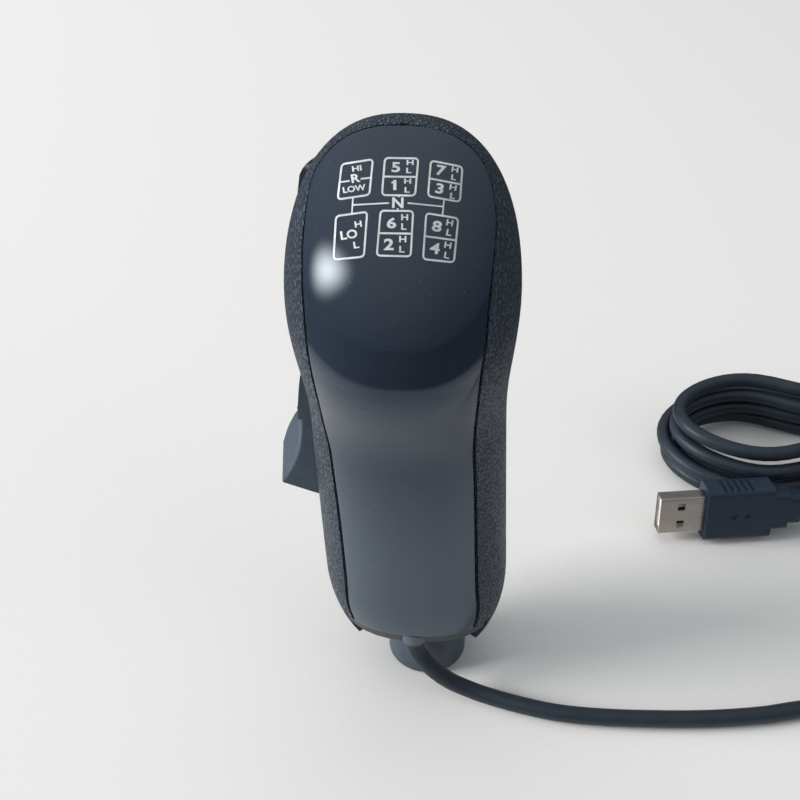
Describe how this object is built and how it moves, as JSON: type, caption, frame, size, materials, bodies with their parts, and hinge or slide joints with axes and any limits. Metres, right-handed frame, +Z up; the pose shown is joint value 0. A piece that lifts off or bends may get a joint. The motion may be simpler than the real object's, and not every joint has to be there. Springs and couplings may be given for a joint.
{
  "type": "sim racing gear shifter",
  "caption": "Upright truck-style shift knob with gloss rear panel, lift-up range lever, splitter rocker, rod socket and a coiled USB lead.",
  "frame": {"origin": "centre of the rod socket's mouth, on the underside of the collar where the knob stands", "axes": "+Z up along the rod socket, -Y toward the driver (the gloss panel faces -Y), +X to the driver's right"},
  "size_m": [0.224, 0.1343, 0.149],
  "materials": {
    "grain_black": "leather grain",
    "gloss_black": "high gloss",
    "satin_plastic": "satin",
    "inner_plastic": "moulded",
    "alloy": "turned",
    "steel": "plain",
    "switch_black": "matt",
    "board_green": "lacquered",
    "cream_plastic": "moulded",
    "component_tan": "matt",
    "cord_black": "matt jacket",
    "wire_red": "thin jacket",
    "tie_black": "ribbed nylon",
    "plug_black": "fine grain",
    "plug_steel": "plated",
    "white_plastic": "moulded",
    "gold_contact": "plated"
  },
  "bodies": {
    "knob": {"grip_shell": "grain_black", "rear_panel": "gloss_black", "core_frame": "inner_plastic", "socket_collar": "satin_plastic", "rod_bush": "alloy", "collar_clip": "steel", "clamp_screws": "steel", "frame_screws": "steel", "panel_screws": "steel", "range_housing": "satin_plastic", "range_pivot": "steel", "range_switch": "switch_black", "housing_screws": "steel", "splitter_bracket": "inner_plastic", "splitter_pivot": "steel", "splitter_switch": "switch_black", "bracket_screws": "steel", "circuit_board": "board_green", "controller_chip": "switch_black", "board_connector": "cream_plastic", "board_components": "component_tan", "board_screws": "steel", "switch_leads": "wire_red", "cable_grommet": "cord_black", "inner_lead": "cord_black", "usb_cable": "cord_black", "cable_hank": "cord_black", "cable_tie": "tie_black", "plug_lead": "cord_black", "usb_overmould": "plug_black", "usb_shell": "plug_steel", "usb_tongue": "white_plastic", "usb_contacts": "gold_contact"},
    "range_lever": {"range_lever": "satin_plastic"},
    "splitter_button": {"splitter_button": "satin_plastic"}
  },
  "joints": [
    {"name": "range_lift", "type": "hinge", "parent": "knob", "child": "range_lever", "pos_m": [-0.02092, 0.0045, 0.077], "axis": [0, 1, 0], "range_deg": [0, 20]},
    {"name": "splitter_rock", "type": "hinge", "parent": "knob", "child": "splitter_button", "pos_m": [-0.02089, 0.01506, 0.12886], "axis": [0.5, 0.866, 0], "range_deg": [-4, 4]}
  ]
}
